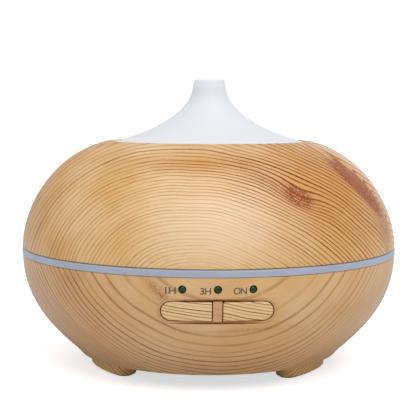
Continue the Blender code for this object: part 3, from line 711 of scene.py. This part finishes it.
# ---- cover
def make_cover():
    """The wood-look shell, its white liner and the spout."""
    inner = inset(COVER_OUTLINE, WALL)
    rim_inner = RIM_RADIUS - 1.0
    profile = [(rim_inner, RIM_HEIGHT - WALL - 0.4, False), (rim_inner, RIM_HEIGHT - 0.02, True)]
    profile += [(r, z, False) for r, z in COVER_OUTLINE[1:-1]]
    profile += [(BODY_RADIUS, COVER_EDGE, True), (BODY_RADIUS - WALL, COVER_EDGE, True)]
    profile += [(r, z, False) for r, z in reversed(inner) if r > rim_inner + 1.2]
    shell = lathe("cover_skin", rounded(profile, 0.8, 5), SHELL_STEPS, sharp=50.0)
    show(shell, "cover", WOOD_COVER, "wood_film", "top_shell")

    outer = [p for p in inset(COVER_OUTLINE, WALL + 0.5) if p[0] > 50.2 and p[1] > 58.0]
    inside = [p for p in inset(COVER_OUTLINE, WALL + 2.0) if p[0] > 49.2 and p[1] > 63.0]
    edge = BODY_RADIUS - WALL - 0.7
    liner = [(r, z, False) for r, z in outer]
    liner += [(edge, 57.5, False), (edge, 55.6, True), (70.6, 55.6, False), (70.6, 49.8, True),
              (69.1, 49.8, True), (69.1, 57.6, True), (77.0, 60.0, False)]
    liner += [(r, z, False) for r, z in reversed(inside)]
    show(lathe("liner_skin", rounded(liner, 0.6), INNER_STEPS), "cover", INNER, "white_inner",
         "cover_liner")

    bore = [p for p in inset(SPOUT_OUTLINE, SPOUT_WALL) if p[0] > 5.0][:-4]
    cone = [(r, z, False) for r, z in SPOUT_OUTLINE if z < 123.6]
    flange = [(44.0, 96.2, False), (49.0, 96.0, True), (49.0, 94.6, True), (41.0, 94.6, False)]
    back = [(r, z, False) for r, z in reversed(bore)]
    top = TOTAL_HEIGHT - 0.4
    mouth = [(4.6, 120.0, False), (4.6, top, True), (6.7, top, True)]
    profile = mouth + cone + flange + back
    show(lathe("spout_skin", rounded(profile, 0.7, 6), 192, sharp=50.0), "cover", SPOUT, "white_spout",
         "spout_cone")


# ---- base
def pill(half_width, low, high, steps=24):
    """Closed pill outline in (x, z), counter-clockwise seen from the front."""
    radius = (high - low) / 2.0
    middle = (low + high) / 2.0
    straight = half_width - radius
    points = []
    for side in (1, -1):
        for i in range(steps + 1):
            angle = math.radians(-90.0 + 180.0 * i / steps) + (0.0 if side > 0 else math.pi)
            points.append((side * straight + radius * math.cos(angle), middle + radius * math.sin(angle)))
    return points


def surface_y(x, z, sink=0.0):
    """Y of the base shell's front surface at (x, z), sunk inwards by a distance."""
    return -math.sqrt((base_radius(z) - sink) ** 2 - x * x)


def make_base():
    """The lower shell with its openings, the well, the panel's frame and the keys."""
    inside = [(r, z, False) for r, z in inset(BASE_OUTLINE, WALL) if z > 11.0]
    profile = [(BODY_RADIUS - WALL, SEAM_LOW, False), (BODY_RADIUS, SEAM_LOW, True)]
    profile += [(r, z, False) for r, z in BASE_OUTLINE[1:-1]]
    profile += [(BODY_BOTTOM_RADIUS, BODY_BOTTOM, True), (56.5, BODY_BOTTOM, False)]
    profile += [(56.5, 8.3, False), (54.0, 8.3, False), (54.0, 10.3, False), (59.4, 10.3, False)]
    profile += list(reversed(inside))
    shell = lathe("base_skin", rounded(profile, 0.5), SHELL_STEPS)
    panel = pill(PANEL_HALF_WIDTH + BEZEL_WIDTH, PANEL_LOW - BEZEL_WIDTH, PANEL_HIGH + BEZEL_WIDTH)
    cutters = [prism("panel_cut", panel, -95.0, -70.0),
               rod("well_cut", WELL_RADIUS, (0.0, WELL_FLOOR, WELL_HEIGHT), (0.0, 95.0, WELL_HEIGHT), 64)]
    for azimuth in LAMP_AZIMUTHS.values():
        near = around(azimuth, 76.0)
        far = around(azimuth, 92.0)
        hole_radius = LAMP_RADIUS + 0.12
        cutters.append(rod("lamp_cut", hole_radius, (*near, LAMP_HEIGHT), (*far, LAMP_HEIGHT), 32))
    boolean(shell, cutters)
    follow_turned_form(shell, base_radius)
    show(shell, "base", WOOD_BASE, "wood_film", "base_shell")
    make_well()
    make_bezel()
    for side, purpose in ((-1, "light"), (1, "mist")):
        make_key(side, purpose)


def make_well():
    """The round well of the power inlet, behind the shell's rear opening."""
    depth_steps = 10
    around_steps = 64
    angles = [-2.0 * math.pi * i / around_steps for i in range(around_steps)]
    rim = []
    for angle in angles:
        x = WELL_RADIUS * math.cos(angle)
        z = WELL_HEIGHT + WELL_RADIUS * math.sin(angle)
        mouth = math.sqrt(max(base_radius(max(z, BODY_BOTTOM)) ** 2 - x * x, 0.0)) - 0.05
        rim.append((x, mouth, z))
    verts = []
    for k in range(depth_steps + 1):
        verts += [(x, mouth + (WELL_FLOOR - mouth) * k / depth_steps, z) for x, mouth, z in rim]
    hole = 3.6
    verts += [(hole * math.cos(angle), WELL_FLOOR, WELL_HEIGHT + hole * math.sin(angle))
              for angle in angles]
    well = add("well_skin", verts, bands(depth_steps + 2, around_steps))
    wall = well.modifiers.new("Wall", "SOLIDIFY")
    wall.thickness = 1.2 * MM
    wall.offset = -1.0
    show(well, "base", WOOD_BASE, "wood_film")


def make_bezel():
    """The frame round the keys with its bridge, following the shell's surface."""
    steps = 28
    outer = pill(PANEL_HALF_WIDTH + BEZEL_WIDTH - BEZEL_GAP, PANEL_LOW - BEZEL_WIDTH + BEZEL_GAP,
                 PANEL_HIGH + BEZEL_WIDTH - BEZEL_GAP, steps)
    inner = pill(PANEL_HALF_WIDTH, PANEL_LOW, PANEL_HIGH, steps)
    # section of the frame: share of the way inwards, and depth below the shell's surface
    levels = ((0.0, 2.2), (0.0, 0.08), (0.04, 0.03), (0.10, 0.0), (0.30, 0.0), (0.70, 0.0),
              (0.84, 0.02), (0.94, 0.08), (1.0, 0.22), (1.0, 2.2))
    verts = []
    for share, sink in levels:
        for (xo, zo), (xi, zi) in zip(outer, inner):
            x = xo + (xi - xo) * share
            z = zo + (zi - zo) * share
            verts.append((x, surface_y(x, z) + sink, z))
    ring = add("bezel_ring", verts, bands(len(levels), len(outer), wrap=True), sharp=60.0)
    outwards(ring)
    show(ring, "base", WOOD_BEZEL, "wood_film")

    rows = 14
    edge = ((0.0, 2.2), (0.0, 0.22), (0.08, 0.08), (0.2, 0.02), (0.4, 0.0))
    columns = [(in_by - BRIDGE_HALF_WIDTH, sink) for in_by, sink in edge]
    columns += [(BRIDGE_HALF_WIDTH - in_by, sink) for in_by, sink in reversed(edge)]
    verts = []
    for i in range(rows + 1):
        z = PANEL_LOW + 0.05 + (PANEL_HIGH - PANEL_LOW - 0.1) * i / rows
        for x, sink in columns:
            verts.append((x, surface_y(x, z) + sink, z))
    show(solid("bezel_bridge", verts, len(columns), 60.0), "base", WOOD_BEZEL, "wood_film")


def make_key(side, purpose):
    """One key cap: half a pill whose face follows the shell, with rounded edges."""
    low = PANEL_LOW + KEY_GAP
    high = PANEL_HIGH - KEY_GAP
    radius = (high - low) / 2.0
    end = PANEL_HALF_WIDTH - KEY_GAP
    start = BRIDGE_HALF_WIDTH + KEY_GAP
    edge = 0.55                # radius along the cap's rim
    corner = 0.5               # radius of its two corners beside the bridge

    def spread(count):
        """Shares from 0 to 1, crowded towards both ends."""
        return [0.5 - 0.5 * math.cos(math.pi * i / count) for i in range(count + 1)]

    rows = spread(26)
    columns = spread(44)
    grid = []
    for v in rows:
        z = low + (high - low) * v
        from_middle = abs(z - PANEL_MIDDLE)
        reach = end - radius + math.sqrt(max(radius ** 2 - from_middle ** 2, 0.0))
        to_edge = radius - from_middle
        pulled = corner - math.sqrt(max(corner ** 2 - (corner - min(to_edge, corner)) ** 2, 0.0))
        inner_x = start + pulled
        line = []
        for u in columns:
            x = inner_x + (reach - inner_x) * u
            outside = radius - math.hypot(max(x - (end - radius), 0.0), z - PANEL_MIDDLE)
            distance = max(min(outside, x - start), 0.0)
            depth = edge - math.sqrt(max(edge ** 2 - (edge - min(distance, edge)) ** 2, 0.0))
            line.append((side * x, surface_y(x, z) + depth, z))
        grid.append(line)
    verts = [p for line in grid for p in line]
    width = len(columns)
    height = len(rows)
    faces = []
    for i in range(height - 1):
        for k in range(width - 1):
            a = i * width + k
            faces.append([a, a + 1, a + width + 1, a + width])
    border = list(range(width))
    border += [i * width + width - 1 for i in range(1, height)]
    border += [(height - 1) * width + k for k in range(width - 2, -1, -1)]
    border += [i * width for i in range(height - 2, 0, -1)]
    back = len(verts)
    for index in border:
        x, y, z = verts[index]
        verts.append((x, KEY_BACK, z))
    count = len(border)
    for i in range(count):
        j = (i + 1) % count
        faces.append([border[i], border[j], back + j, back + i])
    faces.append([back + i for i in range(count)])
    key = add(f"{purpose}_key_cap", verts, faces, sharp=55.0)
    outwards(key)
    show(key, f"{purpose}_key", WOOD_KEYS, "wood_film", f"{purpose}_button")
    lip = 0.8
    chamfer = 2.0
    right = PANEL_HALF_WIDTH
    outline = [(1.0, PANEL_LOW - lip), (right - chamfer, PANEL_LOW - lip),
               (right + lip, PANEL_LOW + chamfer), (right + lip, PANEL_HIGH - chamfer),
               (right - chamfer, PANEL_HIGH + lip), (1.0, PANEL_HIGH + lip)]
    outline = [(side * x, z) for x, z in outline]
    flange = prism(f"{purpose}_key_flange", outline, KEY_BACK, KEY_FLANGE_BACK)
    show(flange, f"{purpose}_key", BLACK, "wood_film")


# ---- light strip, lamps and labels
def make_strip():
    """The light strip between the shells, with its step down inside the base shell."""
    top = STRIP_HIGH.z + 0.2
    bottom = SEAM_LOW + 0.05
    outer = STRIP_HIGH.x
    profile = [(83.5, top, True), (outer, top - 0.6, False), (outer, bottom, True),
               (81.1, bottom, False), (81.1, STRIP_LOW.z, True), (79.2, STRIP_LOW.z, True),
               (79.2, 51.6, False), (74.0, 51.6, False), (74.0, top, True)]
    strip = lathe("light_strip_skin", rounded(profile, 0.25), SHELL_STEPS)
    show(strip, "base", STRIP, "light_strip", "light_ring")


def make_lamps():
    """Three domed lamps that point outwards."""
    tip = 84.2
    shoulder = tip - LAMP_RADIUS
    for name, azimuth in LAMP_AZIMUTHS.items():
        dome = [(0.0, tip)]
        for i in range(1, 11):
            angle = math.radians(9.0 * i)
            dome.append((LAMP_RADIUS * math.sin(angle), shoulder + LAMP_RADIUS * math.cos(angle)))
        dome += [(LAMP_RADIUS, 79.2), (1.75, 79.1), (1.75, 78.4), (0.0, 78.4)]
        lamp = lathe(f"lamp_{name}", dome, 40)
        turn = Matrix.Rotation(math.radians(azimuth), 4, "Z") @ Matrix.Rotation(math.pi / 2.0, 4, "X")
        lamp.data.transform(Matrix.Translation((0.0, 0.0, LAMP_HEIGHT * MM)) @ turn)
        show(lamp, "base", LENS, "green_lens", f"led_{name}")


def make_labels():
    """The generic timer labels to the left of each lamp."""
    for text, x_left, x_right in (("1H", -20.3, -16.1), ("3H", -6.85, -2.65), ("ON", 6.0, 11.2)):
        curve = bpy.data.curves.new("label", "FONT")
        curve.body = text
        curve.size = 1.0
        curve.resolution_u = 6
        curve.offset = 0.014
        curve.space_character = 0.85
        guide = link("label", curve)
        mesh = evaluated_mesh(guide)
        bpy.data.objects.remove(guide, do_unlink=True)
        xs = [v.co.x for v in mesh.vertices]
        ys = [v.co.y for v in mesh.vertices]
        left, low = min(xs), min(ys)
        width, height = max(xs) - left, max(ys) - low
        for v in mesh.vertices:
            x = x_left + (x_right - x_left) * (v.co.x - left) / width
            z = LABEL_LOW + (LABEL_HIGH - LABEL_LOW) * (v.co.y - low) / height
            v.co = (x * MM, (surface_y(x, z) - INK_STANDS_PROUD) * MM, z * MM)
        show(link(f"label_{text.lower()}", mesh), "base", LABEL, "grey_base")


# ---- tank
def make_tank():
    """The tank, the air tower in it and the tower's cap on three legs."""
    profile = [(80.6, 55.2, True), (80.6, 53.4, True), (73.0, 53.4, False), (73.0, 47.7, False),
               (74.7, 47.7, True), (74.7, 46.2, True), (71.5, 46.2, False), (66.2, 43.1, True),
               (64.9, 41.0, True), (62.9, 31.2, True), (59.9, 26.6, True), (55.0, 24.4, True),
               (16.2, 22.5, False), (16.2, 18.0, True), (11.5, 18.0, True), (11.5, 21.3, False),
               (8.2, 21.3, True), (8.2, 22.9, True), (12.0, 23.6, True), (14.0, 24.2, True),
               (54.5, 26.2, True), (58.6, 28.0, True), (61.0, 31.5, True), (63.0, 41.6, True),
               (64.6, 44.2, True), (69.6, 47.4, True), (71.2, 49.2, True), (71.2, 55.2, True)]
    tank = lathe("tank_skin", rounded(profile, 1.6, 5), INNER_STEPS)
    hole = lathe("tower_hole", [(0.0, 15.0), (8.9, 15.0), (8.9, 40.0), (0.0, 40.0)], 48, centre=TOWER)
    outwards(hole)
    boolean(tank, [hole])
    smooth(tank)
    show(tank, "base", INNER, "white_inner", "water_tank")
    pipe = [(8.6, 60.0, True), (8.6, 22.3, False), (16.5, 22.3, True), (16.5, 20.9, True),
            (7.0, 20.9, True), (7.0, 60.0, True)]
    tower = lathe("tower_skin", rounded(pipe, 0.5), 64, centre=TOWER)
    show(tower, "base", INNER, "white_inner", "air_tower")
    lid = [(0.0, 66.0), (11.1, 66.0), (11.4, 65.9), (11.5, 65.6), (11.5, 64.8), (11.3, 64.5),
           (0.0, 64.5)]
    cap = lathe("cap_skin", lid, 64, centre=TOWER)
    outwards(cap)
    legs = []
    for i in range(3):
        x, y = around(120.0 * i, 5.2)
        x += TOWER[0]
        y += TOWER[1]
        legs.append(rod(f"cap_leg_{i}", 1.3, (x, y, 54.0), (x, y, 65.2), 20))
    boolean(cap, legs, "UNION")
    smooth(cap)
    show(cap, "base", INNER, "white_inner", "air_cap")


# ---- underside
def arc_bar(inner, outer, half_angle, steps=18):
    """Outline of a bar bent round the axis, with round ends, centred in front of the panel."""
    middle = (inner + outer) / 2.0
    end_radius = (outer - inner) / 2.0
    end_angle = half_angle - math.degrees(end_radius / middle)
    points = []
    for i in range(steps + 1):
        points.append(around(-end_angle + 2.0 * end_angle * i / steps, outer))
    for side in (1, -1):
        if side < 0:
            for i in range(steps + 1):
                points.append(around(end_angle - 2.0 * end_angle * i / steps, inner))
        cx, cy = around(side * end_angle, middle)
        start = math.radians(-90.0 + side * end_angle + (0.0 if side > 0 else 180.0))
        for i in range(1, 10):
            angle = start + math.pi * i / 10
            points.append((cx + end_radius * math.cos(angle), cy + end_radius * math.sin(angle)))
    return points


def stacked(name, outline_at, levels, azimuth):
    """A solid of outlines one above another: levels are (height, how far the outline is drawn in)."""
    verts = []
    cosine = math.cos(math.radians(azimuth))
    sine = math.sin(math.radians(azimuth))
    for z, draw in levels:
        for x, y in outline_at(draw):
            verts.append((x * cosine - y * sine, x * sine + y * cosine, z))
    return solid(name, verts, len(verts) // len(levels), 40.0)


def foot_outline(margin, angle_margin):
    """The outline of a foot or its pad, as a function of how far it is drawn in."""
    def outline(draw):
        return arc_bar(FOOT_INNER + margin + draw, FOOT_OUTER - margin - draw,
                       FOOT_HALF_ANGLE - angle_margin - draw * DEGREES_PER_MM)
    return outline


def make_feet():
    """Three arc-shaped feet with rounded lower edges, and the rubber pads let into them."""
    foot_levels = ((5.9, 0.0), (1.4, 0.0), (1.0, 0.08), (0.75, 0.28), (0.6, 0.6))
    pad_levels = ((0.7, 0.0), (0.35, 0.0), (0.12, 0.1), (0.0, 0.35))
    for i, azimuth in enumerate(FOOT_AZIMUTHS):
        foot = stacked(f"foot_skin_{i + 1}", foot_outline(0.0, 0.0), foot_levels, azimuth)
        show(foot, "base", WOOD_FEET, "wood_film", f"foot_{i + 1}")
        pad = stacked(f"pad_skin_{i + 1}", foot_outline(1.3, 1.6), pad_levels, azimuth)
        show(pad, "base", RUBBER, "rubber", f"foot_pad_{i + 1}")


# ---- CAD nodes that stay
STAYING = {
    "splash_guard": INNER, "bottom_cover": GREY_BASE, "transducer_seal": RUBBER,
    "panel_board": BOARD, "light_board": BOARD, "main_board": BOARD, "light_switch": BLACK,
    "mist_switch": BLACK, "led_holder": BLACK, "driver_transistor": BLACK, "control_chip": BLACK,
    "fan_frame": BLACK, "fan_rotor": BLACK, "dc_jack": BLACK, "driver_heatsink": ALUMINIUM,
    "smoothing_capacitor": ALUMINIUM, "light_plunger": STEEL, "mist_plunger": STEEL,
    "transducer_disc": STEEL, "transducer_clamp": STEEL, "dc_jack_pin": BRASS, "boost_inductor": COPPER,
    "fan_lead": WIRE_RED, "power_lead": WIRE_RED, "transducer_lead": WIRE_BLACK, "panel_lead": WIRE_WHITE,
    "ring_lead": WIRE_WHITE,
}


def paint_staying_nodes():
    """Give every CAD node that stays visible its material."""
    for name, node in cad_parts.items():
        if name in STAYING:
            paint(node, STAYING[name])
        elif "screw" in name:
            paint(node, STEEL)
        elif name.startswith("ring_led"):
            paint(node, PHOSPHOR)


make_cover()
make_base()
make_strip()
make_lamps()
make_labels()
make_tank()
make_feet()
paint_staying_nodes()


# ---- stage, light and camera
OBJECT_LIGHT = 0.58            # level of the white surroundings for the object
BACKDROP = 1.05                # and as the camera sees them
FLOOR_GLOW = 0.64              # light that the floor adds for the camera alone


def make_stage():
    """A plain pale floor that the camera sees almost white, with a soft shadow."""
    mesh = bpy.data.meshes.new("floor")
    shape = bmesh.new()
    bmesh.ops.create_grid(shape, x_segments=1, y_segments=1, size=6.0)
    shape.to_mesh(mesh)
    shape.free()
    floor = link("floor", mesh)
    material = bpy.data.materials.new("floor")
    material.use_nodes = True
    shader = material.node_tree.nodes["Principled BSDF"]
    shader.inputs["Base Color"].default_value = (0.80, 0.83, 0.87, 1.0)
    shader.inputs["Roughness"].default_value = 0.8
    shader.inputs["Specular IOR Level"].default_value = 0.2
    shader.inputs["Emission Color"].default_value = (1.0, 1.0, 1.0, 1.0)
    path = material.node_tree.nodes.new("ShaderNodeLightPath")
    glow = material.node_tree.nodes.new("ShaderNodeMath")
    glow.operation = "MULTIPLY"
    glow.inputs[1].default_value = FLOOR_GLOW
    material.node_tree.links.new(path.outputs["Is Camera Ray"], glow.inputs[0])
    material.node_tree.links.new(glow.outputs[0], shader.inputs["Emission Strength"])
    mesh.materials.append(material)


def softbox(name, place, target, size, power):
    """A rectangular light at a place, turned to a target."""
    light = bpy.data.lights.new(name, "AREA")
    light.shape = "RECTANGLE"
    light.size = size[0]
    light.size_y = size[1]
    light.energy = power
    lamp = link(name, light)
    lamp.location = place
    lamp.rotation_euler = (Vector(target) - Vector(place)).to_track_quat("-Z", "Y").to_euler()


def soft_sun(name, towards, strength, spread):
    """A very soft distant light; towards points from the object to the light."""
    light = bpy.data.lights.new(name, "SUN")
    light.energy = strength
    light.angle = math.radians(spread)
    link(name, light).rotation_euler = Vector(towards).to_track_quat("Z", "Y").to_euler()


def make_light():
    """White surroundings, dimmer for the object than the backdrop, with two soft lights."""
    world = bpy.data.worlds.new("studio")
    bpy.context.scene.world = world
    world.use_nodes = True
    tree = world.node_tree
    background = tree.nodes["Background"]
    background.inputs["Color"].default_value = (1.0, 1.0, 1.0, 1.0)
    path = tree.nodes.new("ShaderNodeLightPath")
    level = tree.nodes.new("ShaderNodeMapRange")
    level.inputs["To Min"].default_value = OBJECT_LIGHT
    level.inputs["To Max"].default_value = BACKDROP
    tree.links.new(path.outputs["Is Camera Ray"], level.inputs["Value"])
    tree.links.new(level.outputs["Result"], background.inputs["Strength"])
    soft_sun("key", (0.12, -0.42, 0.90), 1.45, 50.0)
    softbox("edge", (0.40, 0.91, 0.16), (0.0, 0.0, 0.07), (0.3, 0.5), 0.32)


CAMERA_DISTANCE = 0.5
CAMERA_HEIGHT = 0.1161
CAMERA_AZIMUTH = math.radians(-2.5)
CAMERA_TILT = 0.0951
CAMERA_TURN = math.radians(-0.06)
CAMERA_ROLL = math.radians(0.25)
CAMERA_LENS = 94.2


def make_camera():
    """The view of the front, from a little above."""
    camera = bpy.data.cameras.new("camera")
    camera.lens = CAMERA_LENS
    camera.sensor_width = 36.0
    camera.clip_start = 0.01
    view = link("camera", camera)
    heading = Matrix.Rotation(CAMERA_AZIMUTH + CAMERA_TURN, 4, "Z")
    tilt = Matrix.Rotation(math.pi / 2.0 - CAMERA_TILT, 4, "X")
    roll = Matrix.Rotation(CAMERA_ROLL, 4, "Z")
    place = Vector((CAMERA_DISTANCE * math.sin(CAMERA_AZIMUTH),
                    -CAMERA_DISTANCE * math.cos(CAMERA_AZIMUTH), CAMERA_HEIGHT))
    view.matrix_world = Matrix.Translation(place) @ heading @ tilt @ roll
    bpy.context.scene.camera = view


make_stage()
make_light()
make_camera()
